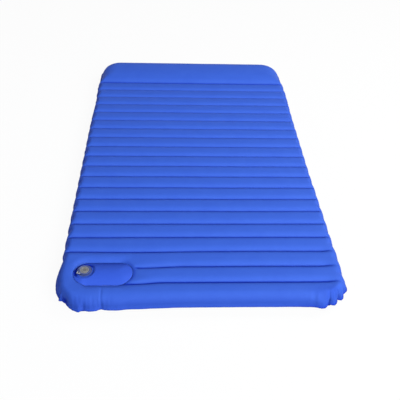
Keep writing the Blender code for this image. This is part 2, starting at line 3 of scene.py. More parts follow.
import bmesh
import bpy
from mathutils import Matrix, Vector, noise


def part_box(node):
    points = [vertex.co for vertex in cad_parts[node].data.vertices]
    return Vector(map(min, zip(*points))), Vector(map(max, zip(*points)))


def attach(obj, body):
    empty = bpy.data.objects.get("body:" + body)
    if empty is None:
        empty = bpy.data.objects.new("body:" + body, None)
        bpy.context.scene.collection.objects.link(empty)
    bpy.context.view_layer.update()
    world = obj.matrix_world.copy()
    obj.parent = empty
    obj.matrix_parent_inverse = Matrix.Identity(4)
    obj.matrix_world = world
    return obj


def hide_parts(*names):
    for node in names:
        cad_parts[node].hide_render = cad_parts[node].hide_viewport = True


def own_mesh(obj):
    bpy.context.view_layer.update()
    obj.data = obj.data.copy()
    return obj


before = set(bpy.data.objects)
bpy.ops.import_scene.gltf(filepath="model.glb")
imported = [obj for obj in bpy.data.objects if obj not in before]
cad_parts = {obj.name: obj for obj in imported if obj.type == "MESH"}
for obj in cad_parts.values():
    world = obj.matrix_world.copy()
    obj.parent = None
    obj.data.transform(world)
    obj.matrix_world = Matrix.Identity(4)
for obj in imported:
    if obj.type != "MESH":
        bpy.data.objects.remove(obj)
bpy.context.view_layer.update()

print("frame loaded:", len(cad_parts), "nodes")


# Where things are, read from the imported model

def cadBoxOf(node):
    low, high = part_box(node)
    return Vector(low), Vector(high)


def middleOf(node):
    low, high = cadBoxOf(node)
    return (low + high) / 2


seamYs = [middleOf(f"baffle_{n:02d}").y for n in range(1, 21)]
padLow, padHigh = cadBoxOf("top_skin")
halfX = padHigh.x
footY, headY = padLow.y, padHigh.y
tubePitch = (seamYs[-1] - seamYs[0]) / (len(seamYs) - 1)
pumpLow, pumpHigh = cadBoxOf("pump_cover")
pumpMiddle = (pumpLow + pumpHigh) / 2
valveMiddle = middleOf("outlet_seat")   # the outlet sits straight under the valve

pumpGap = 0.0006             # between the pump's cover and the edge of the skin's opening for it
smallest = 0.001             # metres, so that nothing is divided by zero

pad = {
    "weldZ": 0.050,  # height of the weld round the edge
    "tubeTop": 0.100,
    "headTop": 0.138,
    "seamZ": 0.0852,  # lowest point of a seam, just over the baffle's weld strip
    "cornerRadius": 0.085,
    "headCornerRadius": 0.128,
    "headNarrower": 0.006,  # at each end of the head tube
    "headBlend": 0.030,  # past the last seam, where that is reached
    "sideDepth": 0.040,  # how far in the side wall reaches its full height
    "frontDepth": 0.045,  # and the wall at the foot end
    "headDepth": 0.100,  # and the one at the head
    "headSideDepth": 0.112,  # the head tube's ends fall off further in than those of the other tubes
    "headSideBlend": 0.090,
    "weldWidth": 0.0040,  # flat welded hem
    "seamSharpness": 4.0,  # 2 is a plain arch, more is a flatter tube with a sharper crease
    "clothThickness": 0.0006,
}
pump = {
    "rimZ": 0.085,
    "radius": (pumpHigh.y - pumpLow.y) / 2 + pumpGap,
    "run": (pumpHigh.x - pumpLow.x) - (pumpHigh.y - pumpLow.y),
    "groove": 0.031,  # width of the dip round the cover
    "rightGroove": 0.074,  # and at its right end
    "rightGain": 1.3,  # how soon the right end counts as such, going round the cover
    "rightCut": 0.1,
    "crown": 0.0215,
    "shoulder": 0.0615,
    "lean": 0.10,  # how much the arch leans towards the near edge
    "edgeRise": 0.0012,  # the cover's edge and the cloth round it stand this much over the rim
    "leftRise": 0.0090,  # and this much more at the near left, where they run into each other
    "leftSide": math.radians(205),
    "leftGain": 1.6,  # how soon it comes in, going round the cover
    "leftCut": 0.4,
    "leftRun": 0.03,  # and going left
    "leftLead": 0.2,
    "rightRise": 0.0075,  # and this much more at the right end
    "seatRise": 0.013,  # height of the valve's seat over the rim
    "seatFlat": 0.033,
    "hollow": 0.046,
    "valveTurn": math.radians(32),
}


# Small helpers

def smoothStep(value):
    held = min(max(value, 0.0), 1.0)
    return held * held * (3 - 2 * held)


def roundShare(share):
    held = min(max(share, 0.0), 1.0)
    return math.sqrt(1 - (1 - held) ** 2)


def bump(distance, width):
    return math.exp(-(distance / width) ** 2)


def strip(distance, shape):
    # a band with soft edges: its strength, the place of its middle and its half width in metres
    strength, middle, width = shape
    return strength * bump(distance - middle, width)


def between(low, high, share):
    return low + (high - low) * share


def soft(x, y, size, seed=0.0):
    # smooth noise from -1 to 1 whose lumps are about this size in metres
    return noise.noise(Vector((x / size, y / size, seed)))


def makeObject(name, bm, material, smooth=True):
    mesh = bpy.data.meshes.new(name)
    bm.to_mesh(mesh)
    bm.free()
    if smooth:
        mesh.shade_smooth()
    mesh.materials.append(material)
    made = bpy.data.objects.new(name, mesh)
    bpy.context.scene.collection.objects.link(made)
    return made


def addModifier(thing, name, kind, **settings):
    step = thing.modifiers.new(name, kind)
    for key, value in settings.items():
        setattr(step, key, value)
    return step


def applyModifiers(thing):
    # replaces the mesh by its finished form, so nothing is left live
    bpy.context.view_layer.update()
    graph = bpy.context.evaluated_depsgraph_get()
    done = bpy.data.meshes.new_from_object(thing.evaluated_get(graph))
    thing.modifiers.clear()
    thing.data = done


# Materials

def linear(hexColour):
    # sRGB hex to linear
    out = []
    for start in (0, 2, 4):
        value = int(hexColour[start:start + 2], 16) / 255
        out.append(value / 12.92 if value <= 0.04045 else ((value + 0.055) / 1.055) ** 2.4)
    return (*out, 1.0)


def addNode(tree, kind, settings=None, links=None):
    # settings are sockets or properties, links are {input: (node, output)}
    node = tree.nodes.new(kind)
    for key, value in (settings or {}).items():
        if key in node.inputs:
            node.inputs[key].default_value = value
        else:
            setattr(node, key, value)
    for key, (source, output) in (links or {}).items():
        tree.links.new(source.outputs[output], node.inputs[key])
    return node


def newMaterial(name, settings):
    made = bpy.data.materials.new(name)
    made.use_nodes = True
    shader = made.node_tree.nodes["Principled BSDF"]
    for key, value in settings.items():
        shader.inputs[key].default_value = value
    return made, made.node_tree, shader


def waveScale(millimetres):
    # Blender's wave repeats every pi / 10 units at a scale of 1
    return math.pi / 10 / (millimetres / 1000)


def noiseScale(millimetres):
    return 1000 / millimetres


def wovenFabric(name, colour, weldAndShadeColour, weave, sheen, roughness=0.6):
    # Woven polyester with a thin coating inside: matt, a faint sheen at a glancing angle,
    # thread by thread relief. Real threads lie 0.3 mm apart, drawn coarser so that they show.
    made, tree, shader = newMaterial(name, {
        "Roughness": roughness, "IOR": 1.5, "Sheen Weight": sheen, "Sheen Roughness": 0.4,
        "Specular IOR Level": 0.14,
    })
    shader.inputs["Sheen Tint"].default_value = linear("b4dcff")
    shader.inputs["Specular Tint"].default_value = linear("cce2ff")
    place = addNode(tree, "ShaderNodeUVMap", {"uv_map": "cut"})
    onCloth = {"Vector": (place, "UV")}
    thread = {"Scale": waveScale(weave), "Distortion": 0.6, "Detail": 1.0}
    wefts = addNode(tree, "ShaderNodeTexWave", {"bands_direction": "X", **thread}, onCloth)
    warps = addNode(tree, "ShaderNodeTexWave", {"bands_direction": "Y", **thread}, onCloth)
    threads = addNode(tree, "ShaderNodeMath", {"operation": "MAXIMUM"},
                      {0: (wefts, "Fac"), 1: (warps, "Fac")})
    cloud = {"Scale": noiseScale(90), "Detail": 3.0, "Roughness": 0.55}
    cloudy = addNode(tree, "ShaderNodeTexNoise", cloud, onCloth)
    fine = addNode(tree, "ShaderNodeTexNoise", {"Scale": noiseScale(7), "Detail": 2.0}, onCloth)
    spread = addNode(tree, "ShaderNodeMapRange",
                     {"From Min": 0.30, "From Max": 0.62, "To Min": 0.93, "To Max": 1.0},
                     {"Value": (cloudy, "Fac")})
    # this attribute holds the darkening along welds and the painted shade in creases, grooves, hollows and
    # along the walls
    weldAndShadeMark = addNode(tree, "ShaderNodeAttribute", {"attribute_name": "weldAndShade"})
    light = addNode(tree, "ShaderNodeMath", {"operation": "SUBTRACT"},
                    {0: (spread, "Result"), 1: (weldAndShadeMark, "Fac")})
    base = addNode(tree, "ShaderNodeMix", {"data_type": "RGBA"}, {0: (light, "Value")})
    base.inputs[6].default_value = linear(weldAndShadeColour)
    base.inputs[7].default_value = linear(colour)
    tree.links.new(base.outputs[2], shader.inputs["Base Color"])
    dull = addNode(tree, "ShaderNodeMapRange", {"To Min": roughness, "To Max": 0.98},
                   {"Value": (weldAndShadeMark, "Fac")})
    tree.links.new(dull.outputs["Result"], shader.inputs["Roughness"])
    relief = addNode(tree, "ShaderNodeMath", {"operation": "MULTIPLY_ADD"},
                     {0: (threads, "Value"), 2: (fine, "Fac")})
    relief.inputs[1].default_value = 0.55   # weight of the threads against the fine noise
    dents = addNode(tree, "ShaderNodeBump", {"Strength": 0.22, "Distance": 0.0006},
                    {"Height": (relief, "Value")})
    tree.links.new(dents.outputs["Normal"], shader.inputs["Normal"])
    return made


def mouldedPlastic(name, colour, shade, roughness, subsurface=0.0, rim=None):
    # Injection-moulded soft plastic: an even satin skin with faint flow marks and fine grain.
    # rim is a centre, a radius and a colour for all that lies further out: painted shade round the cap's
    # edge.
    made, tree, shader = newMaterial(name, {
        "Roughness": roughness, "IOR": 1.5, "Subsurface Weight": subsurface,
    })
    shader.inputs["Subsurface Radius"].default_value = (0.004, 0.004, 0.003)
    place = addNode(tree, "ShaderNodeTexCoord")
    onPiece = {"Vector": (place, "Object")}
    flow = addNode(tree, "ShaderNodeTexNoise", {"Scale": noiseScale(14), "Detail": 4.0, "Distortion": 0.8},
                   onPiece)
    base = addNode(tree, "ShaderNodeMix", {"data_type": "RGBA"}, {0: (flow, "Fac")})
    base.inputs[6].default_value = linear(shade)
    base.inputs[7].default_value = linear(colour)
    if rim:
        centre, radius, rimShadeColour = rim
        blend = 0.0008
        away = addNode(tree, "ShaderNodeVectorMath", {"operation": "DISTANCE"}, {0: (place, "Object")})
        away.inputs[1].default_value = centre
        past = addNode(tree, "ShaderNodeMapRange", {"From Min": radius - blend, "From Max": radius + blend},
                       {"Value": (away, "Value")})
        outer = addNode(tree, "ShaderNodeMix", {"data_type": "RGBA"}, {0: (past, "Result"), 6: (base, 2)})
        outer.inputs[7].default_value = linear(rimShadeColour)
        base = outer
    tree.links.new(base.outputs[2], shader.inputs["Base Color"])
    grain = addNode(tree, "ShaderNodeTexNoise", {"Scale": noiseScale(0.9), "Detail": 2.0}, onPiece)
    dents = addNode(tree, "ShaderNodeBump", {"Strength": 0.18, "Distance": 0.0002},
                    {"Height": (grain, "Fac")})
    tree.links.new(dents.outputs["Normal"], shader.inputs["Normal"])
    return made


def openFoam(name, colour, shade):
    # Open-cell polyurethane foam: very matt, dotted with cells about 1 mm wide, drawn at 1.6 mm
    made, tree, shader = newMaterial(name, {"Roughness": 0.95, "IOR": 1.45})
    place = addNode(tree, "ShaderNodeTexCoord")
    cells = addNode(tree, "ShaderNodeTexVoronoi", {"Scale": noiseScale(1.6)}, {"Vector": (place, "Object")})
    base = addNode(tree, "ShaderNodeMix", {"data_type": "RGBA"}, {0: (cells, "Distance")})
    base.inputs[6].default_value = linear(shade)
    base.inputs[7].default_value = linear(colour)
    tree.links.new(base.outputs[2], shader.inputs["Base Color"])
    dents = addNode(tree, "ShaderNodeBump", {"Strength": 0.6, "Distance": 0.0008},
                    {"Height": (cells, "Distance")})
    tree.links.new(dents.outputs["Normal"], shader.inputs["Normal"])
    return made


# the second colour is the dark blue for the welds and for the painted shade
padFabric = wovenFabric("blue_woven_polyester", "2f51ae", "001a8c", 1.8, 0.02)
coverFabric = wovenFabric("blue_woven_polyester_cover", "2b4bb0", "001a8c", 1.4, 0.02)
innerFabric = wovenFabric("blue_coated_inner_cloth", "4a62b4", "3a4f98", 1.8, 0.1, 0.45)
# the dark blue-grey past the cap's rim radius is painted shade of its edge
capPlastic = mouldedPlastic("grey_moulded_soft_plastic", "5a5a5e", "45433c", 0.5, 0.1,
                            (tuple(valveMiddle.xy) + (cadBoxOf("valve_cap")[1].z,), 0.0195, "2c3a6c"))
palePlastic = mouldedPlastic("pale_grey_moulded_soft_plastic", "989ca4", "7c8088", 0.5, 0.1)
plugPlastic = mouldedPlastic("black_moulded_soft_plastic", "2b2c30", "1d1e22", 0.42)
ringPlastic = mouldedPlastic("blue_grey_moulded_ring", "38477c", "2c3a6c", 0.45)
flapRubber = mouldedPlastic("clear_grey_silicone", "b4b2aa", "9c9a92", 0.35, 0.3)
foamMaterial = openFoam("cream_open_cell_foam", "e6e1d0", "b8b09a")
print("materials made")


# The skins: a square grid whose edge is rounded, then blown up by a height for each point

skin = {
    # grid lines near the edge, mm in from it
    "edgeSteps": (0, 3.2, 6.5, 8.5, 11, 14.5, 19, 24, 29, 34, 39.5, 45, 50, 55, 60, 65, 70, 75, 80, 85),
    # grid lines over a tube, as shares of the way from one seam to the next
    "upperShares": (0, 0.018, 0.05, 0.10, 0.17, 0.27, 0.38, 0.5, 0.62, 0.73, 0.83, 0.90, 0.95, 0.982),
    "lowerShares": (0, 0.03, 0.09, 0.17, 0.27, 0.5, 0.73, 0.83, 0.91, 0.97),
    "sharesPastSeam": 7,  # so many of them follow the last seam
    "columnStep": 0.0105,
    "pumpColumnStep": 0.0038,
    "lowerColumnStep": 0.016,
    "footStep": 0.006,
    "headStep": 0.010,
    "pumpMargin": 0.030,  # the fine columns go this far past the pump
    "openingReach": 0.020,  # cut edges this near the pump belong to its opening
    "turnDown": 0.0012,  # the opening's edge turns down into the cup
}


def spacedBetween(low, high, step):
    count = max(1, math.ceil((high - low) / step))
    return [low + (high - low) * n / count for n in range(1, count)]


def gridLines(tubeShares, columnStep, pumpStep):
    edge = [step / 1000 for step in skin["edgeSteps"]]
    innerX = halfX - edge[-1]
    pumpRight = pumpHigh.x + skin["pumpMargin"]
    columns = [-halfX + step for step in edge]
    columns += spacedBetween(-innerX, pumpRight, pumpStep) + [pumpRight]
    columns += spacedBetween(pumpRight, innerX, columnStep)
    columns += [halfX - step for step in reversed(edge)]
    rows = [footY + step for step in edge]
    rows += spacedBetween(rows[-1], seamYs[0], skin["footStep"])
    for low, high in zip(seamYs, seamYs[1:]):
        rows += [low + (high - low) * share for share in tubeShares]
    rows += [seamYs[-1] + (tubePitch * share) for share in tubeShares[:skin["sharesPastSeam"]]]
    rows += spacedBetween(rows[-1], headY - edge[-1], skin["headStep"])
    rows += [headY - step for step in reversed(edge)]
    return columns, rows


def gridSheet(columns, rows):
    bm = bmesh.new()
    bmesh.ops.create_grid(bm, x_segments=len(columns) - 1, y_segments=len(rows) - 1, size=1)
    bm.verts.ensure_lookup_table()
    across = sorted({round(v.co.x, 5) for v in bm.verts})
    along = sorted({round(v.co.y, 5) for v in bm.verts})
    columnOf = {value: columns[n] for n, value in enumerate(across)}
    rowOf = {value: rows[n] for n, value in enumerate(along)}
    for vert in bm.verts:
        vert.co = (columnOf[round(vert.co.x, 5)], rowOf[round(vert.co.y, 5)], 0)
    return bm


def roundCorner(x, y):
    # moves a point of the square corner into the round one, rings staying rings
    radius = pad["cornerRadius"]
    centreX = math.copysign(halfX - radius, x)
    centreY = (footY + radius) if y < 0 else (headY - radius)
    across = (abs(x) - abs(centreX)) / radius
    along = (centreY - y if y < 0 else y - centreY) / radius
    if across <= 0 or along <= 0:
        return x, y
    reach = max(across, along)
    if along <= across:
        angle = math.pi / 4 * (along / across)
    else:
        angle = math.pi / 2 - math.pi / 4 * (across / along)
    x = centreX + math.copysign(1, x) * radius * reach * math.cos(angle)
    y = centreY + (-1 if y < 0 else 1) * radius * reach * math.sin(angle)
    return x, y


def edgePlace(x, y):
    # distance in from the edge, and how much of that edge is an end: 0 at a side, 1 at the foot or head
    radius = pad["cornerRadius"]
    toSide = halfX - abs(x)
    toEnd = min(y - footY, headY - y)
    if toSide < radius and toEnd < radius:
        across, along = radius - toSide, radius - toEnd
        return max(radius - math.hypot(across, along), 0.0), math.atan2(along, across) / (math.pi / 2)
    return (toSide, 0.0) if toSide < toEnd else (toEnd, 1.0)


def tubeProfile(y):
    # height of the tubes' tops over the weld at y, seams included
    full = pad["tubeTop"] - pad["weldZ"]
    low = pad["seamZ"] - pad["weldZ"]
    head = pad["headTop"] - pad["weldZ"]
    if y < seamYs[0]:
        share = (y - footY - pad["frontDepth"]) / (seamYs[0] - footY - pad["frontDepth"])
        return full - (full - low) * max(share, 0.0) ** pad["seamSharpness"]
    if y < seamYs[-1]:
        share = ((y - seamYs[0]) / tubePitch) % 1.0
        return full - (full - low) * abs(2 * share - 1) ** pad["seamSharpness"]
    rise = (y - seamYs[-1]) / (headY - pad["headDepth"] - seamYs[-1])
    return low + (head - low) * roundShare(rise)


pumpPatchTop = seamYs[1] + tubePitch / 2
seam = {
    "leftStart": 0.010,  # in from the side, where a seam starts on the left
    "leftRun": 0.022,  # and how far it takes to reach its full depth
    "rightStart": 0.006,
    "rightRun": 0.034,
    "rightFootRun": 0.050,  # more of it towards the foot end
    "footRunFrom": -0.60,  # in y, where that starts
    "footRunOver": 0.25,
    "pumpClear": 0.030,  # the first two seams come in from this far right of the pump's middle
    "secondStart": 0.002,  # the second one from this much left of the pump's right end
    "secondRun": 0.024,
    "toFoot": 0.0030,  # the seams lie this much nearer the foot end than the baffles
    "wander": 0.0013,
    "wanderSize": 0.3,
    "pumpBends": ((0.012, 0.13), (0.013, 0.22)),  # first two: depth, and reach right of the pump
    "thirdBend": (0.005, -0.28, 0.17),  # third: depth, and middle and half width in x
    "bendWidth": 0.030,
    "driftBefore": 0.040,  # how far outside the first and the last seam the drift is felt
    "driftPast": 0.030,
    "fadePast": 0.020,
}
billow = {
    "depth": 0.0006,  # unevenness of blown-up cloth
    "size": 0.16,
    "from": 0.010,  # it starts this far in from the edge
    "over": 0.050,
    "foldDepth": 0.0006,  # small folds round the pump
    "foldSize": 0.030,
    "foldAway": 0.030,  # how far from the cover they lie
    "foldWidth": 0.025,
}


def pumpDistance(x, y):
    # from the pump's outline, negative inside it
    across = max(abs(x - pumpMiddle.x) - pump["run"] / 2, 0.0)
    return math.hypot(across, y - pumpMiddle.y) - pump["radius"]


def rightShare(x, y):
    # 1 straight to the right of the cover, 0 beside its long sides
    past = x - pumpMiddle.x - pump["run"] / 2
    if past <= 0:
        return 0.0
    facing = past / max(math.hypot(past, y - pumpMiddle.y), smallest)
    return smoothStep(facing * pump["rightGain"] - pump["rightCut"])


def pumpEdgeZ(x, y):
    # height of the cover's edge, and of the cloth that meets it
    fromEnd = Vector((x - pumpMiddle.x + pump["run"] / 2, y - pumpMiddle.y))
    facing = math.cos(math.atan2(fromEnd.y, fromEnd.x) - pump["leftSide"])
    nearLeft = smoothStep(pump["leftGain"] * facing - pump["leftCut"])
    nearLeft *= smoothStep(-fromEnd.x / pump["leftRun"] + pump["leftLead"])
    edge = pump["rimZ"] + pump["edgeRise"]
    return edge + pump["leftRise"] * nearLeft + pump["rightRise"] * rightShare(x, y)


def seamFade(x, y):
    # 1 where a seam shows, 0 near the side wall and left of the pump
    if x < 0:
        fade = smoothStep((halfX + x - seam["leftStart"]) / seam["leftRun"])
    else:
        footShare = smoothStep((seam["footRunFrom"] - y) / seam["footRunOver"])
        run = seam["rightRun"] + seam["rightFootRun"] * footShare
        fade = smoothStep((halfX - x - seam["rightStart"]) / run)
    if y < pumpPatchTop:
        start = pumpMiddle.x + seam["pumpClear"]
        fade *= smoothStep((x - start) / (pumpHigh.x - start))
    if seamYs[0] + tubePitch / 2 < y < pumpPatchTop:
        fade *= smoothStep((x - pumpHigh.x + seam["secondStart"]) / seam["secondRun"])
    return fade


def seamDrift(x, y):
    # seams wander a little, and the first ones bend towards the foot end beside the pump
    nearest = min(seamYs, key=lambda s: abs(s - y))
    drift = seam["toFoot"] + seam["wander"] * soft(x, nearest, seam["wanderSize"], seed=3.0)
    for seamY, (depth, reach) in zip(seamYs, seam["pumpBends"]):
        besidePump = 1 - smoothStep((x - pumpHigh.x) / reach)
        drift += depth * besidePump * bump(y - seamY, seam["bendWidth"])
    depth, middle, width = seam["thirdBend"]
    return drift + depth * bump(x - middle, width) * bump(y - seamYs[2], seam["bendWidth"])


def headShare(y):
    # 0 over the tubes, 1 over the head tube
    return smoothStep((y - seamYs[-1]) / pad["headBlend"])


def headHalfWidth(y):
    radius = pad["headCornerRadius"]
    wide = halfX - pad["headNarrower"] * headShare(y)
    if headY - y > radius:
        return wide
    return wide - radius + radius * roundShare((headY - y) / radius)


def topHeight(x, y):
    full = pad["tubeTop"] - pad["weldZ"]
    flat = pad["weldWidth"]
    inward, endShare = edgePlace(x, y)
    drifts = seamYs[0] - seam["driftBefore"] < y < seamYs[-1] + seam["driftPast"]
    height = tubeProfile(y + seamDrift(x, y) if drifts else y)
    if y < seamYs[-1] + seam["fadePast"] and height < full:
        height = between(full, height, seamFade(x, y))
    if y < 0:
        depth = between(pad["sideDepth"], pad["frontDepth"], endShare)
        share = roundShare((inward - flat) / (depth - flat))
    else:
        grow = smoothStep((y - seamYs[-1]) / pad["headSideBlend"])
        depth = between(pad["sideDepth"], pad["headSideDepth"], grow)
        share = roundShare((headHalfWidth(y) - abs(x) - flat) / (depth - flat))
        share *= roundShare((headY - y - flat) / (pad["headDepth"] - flat))
    z = pad["weldZ"] + height * share
    calm = smoothStep((inward - billow["from"]) / billow["over"])
    z += billow["depth"] * soft(x, y, billow["size"], seed=1.0) * calm
    distance = pumpDistance(x, y)
    folds = billow["foldDepth"] * soft(x, y, billow["foldSize"], seed=5.0)
    z += folds * bump(distance - billow["foldAway"], billow["foldWidth"]) * calm
    groove = between(pump["groove"], pump["rightGroove"], rightShare(x, y))
    if distance < groove:
        z = between(pumpEdgeZ(x, y), z, 1 - (1 - max(distance, 0.0) / groove) ** 2)
    return max(z, pad["weldZ"] + pad["clothThickness"])


# The weld at the foot end's corners, drawn in where the cloth gathers. An edge has pairs of a place along
# it (mm, 0 where the round corner starts at the side, growing towards the foot end) and a move inwards (mm).
# A crease has its place along the edge, depth, half width and reach, all mm.
corners = {
    "right": {
        "edge": ((-780, 0), (-560, -4), (-380, -7), (-240, -8), (-150, -12), (-79, -10), (-40, -12),
                 (-20, -14), (-10, -14), (0, -12), (9, -3), (16, 5), (29, 4), (42, 3), (52, 6), (63, 21),
                 (77, 15), (88, 10), (101, 6), (112, 8), (120, 12), (129, 19), (134, 9), (141, -3),
                 (154, -10), (170, -11), (184, -6), (206, -4), (260, -3), (500, -2)),
        "creases": ((15, 3.5, 5, 34), (64, 5.0, 5, 44), (129, 6.0, 4, 52), (196, 4.5, 3.5, 50),
                    (160, 1.5, 5, 44), (-18, 1.6, 6, 26)),
        "gather": {"depth": 0.0030, "spacing": 23, "middle": 40, "spread": 95},   # depth in m, the rest in mm
    },
    "left": {
        "edge": ((-270, 0), (-200, 0), (-151, 6), (-115, -1), (-80, -6), (-60, -7), (-39, -6), (-19, -3),
                 (0, 1), (10, 5), (23, 9), (32, 11), (42, 7), (58, 18), (80, 20), (99, 12), (118, 2),
                 (131, -7), (141, -13), (154, -19), (164, -14), (171, -8), (182, -15), (200, -18), (219, -17),
                 (235, -11), (243, -5), (256, -11), (274, -14), (306, -14), (353, -9), (401, -8), (465, -5),
                 (560, -2)),
        "creases": ((25, 2.0, 5, 26), (86, 2.4, 5, 22), (179, 1.6, 3.0, 20), (241, 2.6, 2.6, 84),
                    (-10, 1.0, 6, 26)),
        "gather": {"depth": 0.0023, "spacing": 19, "middle": 62, "spread": 90},
    },
    "length": 0.90,  # how far from the foot end the edge's moves go
    "smoothing": (-36, -18, 0, 18, 36),  # mm, the edge's mean over these is felt further in
    "reach": 0.060,  # how far in that is felt
    "notchReach": 0.018,  # and the edge's small notches
    "creaseFlatShare": 0.45, # of a crease's reach, before it runs out
    "creaseEndShare": 0.28,
    "creaseStart": 0.006,
    "creaseSpread": 0.12,  # in from the edge, where a crease is twice as wide
    "creasePull": 0.5,  # share of a crease's depth that draws the edge in too
    "gatherWander": 9,  # mm
    "gatherWanderSize": 0.045,
    "gatherSharpness": 1.5,
    "gatherLeast": 0.7,
    "gatherVary": 0.6,
    "gatherIn": 0.016,
    "gatherWidth": 0.017,
    "droop": 0.013,  # how far the weld sinks at the corner
    "droopSpread": 85,  # mm along the edge
    "droopReach": 0.045,
}
scallops = {
    "depth": 0.0062,  # the weld is drawn in at the middle of each tube's end
    "least": 0.8,
    "vary": 0.5,
    "size": 0.09,
    "reach": 0.060,
    "crease": 0.0026,  # and creased there
    "creaseWander": 0.06,  # a share of the tube's width, as is creaseHalf
    "creaseSize": 0.05,
    "creaseHalf": 0.07,
    "creaseIn": 0.014,
    "creaseWidth": 0.013,
}
# The side edges aren't quite straight towards the head: move inwards, middle and half length in y.
sides = {
    "right": (-0.0055, 0.66, 0.16),
    "left": (0.0050, 0.56, 0.12),
    "headRight": 0.003,  # the weld is drawn in beside the head tube
    "headLeft": 0.006,
}
hem = {
    "sag": 0.0024,
    "sagReach": 0.007,
    "wave": 0.0011,
    "waveReach": 0.030,
    "waveScale": 1.4,
    "waveShift": 3,
    "waveSize": 0.035,
    "creaseRise": 0.020,  # creases have their full depth this far above or below the weld
}
# How dark the cloth is drawn: along welds, and as painted shade in folds, grooves, along the walls and at the
# foot corners. A strip has its strength, middle and half width.
marks = {
    # the hem's dark line: the weld, with painted shade, more of it on the right
    "hemLeft": 0.45,
    "hemRight": 0.90,
    "hemRightFrom": 0.30,
    "hemRightOver": 0.20,
    "hemWidth": 0.0050,
    # painted shade on the walls near the ground
    "wall": (0.26, 0.0, 0.020),
    "cornerLength": 0.30,  # from the foot end
    "rightCornerShade": (0.26, 0.110, 0.075),  # painted shade over the right foot corner's wall, along the edge
    "rightCornerDepth": 0.035,
    "rightCornerFade": 0.050,
    "leftCornerShade": (1.0, 0.076, 0.030),  # painted shadow under the fold at the left foot corner, along the edge
    "leftCornerIn": (1.0, 0.004, 0.006),  # in from it
    "seam": 1.8,  # the weld's dark line with painted shade of its crease; over 1, so that the line's middle is fully dark
    "seamShift": 0.0036,
    "seamHeadWidth": 0.0044,
    "seamFootWidth": 0.0066,
    "seamReach": 0.030,
    "pumpNearShade": (0.8, 0.0012, 0.0036),  # painted shade of the groove, out from the cover, along its near side
    "pumpNearReach": 0.012,
    "pumpNearLeft": 0.8,  # the share that is lost at the left end
    "pumpNearRight": 0.6,  # and at the right end
    "pumpLeftOver": 0.030,
    "pumpRight": (0.42, 0.0055, 0.0070),  # painted shade of the dip where the cloth turns down to the cover's right end
    "pumpRightReach": 0.030,
}


def cornerRun(x, y):
    # place along the edge, in metres, counted from where the foot end's round corner starts
    radius = pad["cornerRadius"]
    across = abs(x) - (halfX - radius)
    along = (footY + radius) - y
    if across > 0 and along > 0:
        return radius * math.atan2(along, across)
    toSide, toEnd = halfX - abs(x), y - footY
    return along if toSide < toEnd else radius * math.pi / 2 - across


def tableValue(pairs, at):
    if at <= pairs[0][0]:
        return pairs[0][1]
    for (lowAt, low), (highAt, high) in zip(pairs, pairs[1:]):
        if at <= highAt:
            return low + (high - low) * smoothStep((at - lowAt) / (highAt - lowAt))
    return pairs[-1][1]


def inwardNormal(x, y):
    radius = pad["cornerRadius"]
    across = abs(x) - (halfX - radius)
    along = (footY + radius) - y if y < 0 else y - (headY - radius)
    if across > 0 and along > 0:
        out = Vector((math.copysign(across, x), -along if y < 0 else along))
    elif halfX - abs(x) < min(y - footY, headY - y):
        out = Vector((math.copysign(1, x), 0))
    else:
        out = Vector((0, -1 if y < 0 else 1))
    return -out.normalized() if out.length > 0 else out


def tubeEndMoves(x, y, inward):
    # how far the weld is drawn in at a tube's end, and the depth of the crease there
    share = ((y - seamYs[0]) / tubePitch) % 1.0
    uneven = scallops["least"] + scallops["vary"] * soft(x, y, scallops["size"], seed=9.0)
    pull = scallops["depth"] * (1 - abs(math.cos(math.pi * share))) * uneven
    off = share - 0.5 - scallops["creaseWander"] * soft(y, x, scallops["creaseSize"], seed=2.0)
    crease = scallops["crease"] * bump(off, scallops["creaseHalf"])
    return pull, crease * bump(inward - scallops["creaseIn"], scallops["creaseWidth"])


def sideMove(x, y):
    depth, middle, width = sides["right" if x > 0 else "left"]
    headMove = sides["headRight" if x > 0 else "headLeft"] * headShare(y)
    return depth * bump(y - middle, width) + headMove


def cornerMoves(x, y, inward):
    # at the foot end: the edge's smooth move, its notches, the depth of the creases, and the droop
    corner = corners["right" if x > 0 else "left"]
    run = cornerRun(x, y) * 1000
    smooth = sum(tableValue(corner["edge"], run + step) for step in corners["smoothing"])
    smooth /= len(corners["smoothing"])
    notch = (tableValue(corner["edge"], run) - smooth) / 1000
    notch *= 1 - smoothStep(inward / corners["notchReach"])
    crease = 0.0
    for at, depth, width, reach in corner["creases"]:
        past = max(inward * 1000 - reach * corners["creaseFlatShare"], 0.0)
        wall = bump(past, reach * corners["creaseEndShare"]) * smoothStep(inward / corners["creaseStart"])
        crease += depth / 1000 * bump(run - at, width * (1 + inward / corners["creaseSpread"])) * wall
    gather = corner["gather"]
    wander = corners["gatherWander"] * soft(x, y, corners["gatherWanderSize"], seed=11.0)
    fold = (1 - abs(math.sin(math.pi * (run + wander) / gather["spacing"]))) ** corners["gatherSharpness"]
    uneven = soft(run / 1000, 0, gather["spacing"] / 1000, seed=13.0)
    fold *= corners["gatherLeast"] + corners["gatherVary"] * uneven
    fold *= bump(run - gather["middle"], gather["spread"])
    crease += gather["depth"] * fold * bump(inward - corners["gatherIn"], corners["gatherWidth"])
    cornerMiddle = 1000 * pad["cornerRadius"] * math.pi / 4
    droop = corners["droop"] * bump(run - cornerMiddle, corners["droopSpread"])
    return smooth / 1000, notch, crease, droop * (1 - smoothStep(inward / corners["droopReach"]))


# the seam's dark line: the weld, with painted shade of its crease
def seamMark(x, y, sign):
    shifted = y + seamDrift(x, y) if sign > 0 else y
    past = min((shifted - s for s in seamYs), key=abs) + marks["seamShift"]
    width = marks["seamHeadWidth"] if past > 0 else marks["seamFootWidth"]
    return min(1.0, marks["seam"] * bump(past, width)) * seamFade(x, y)


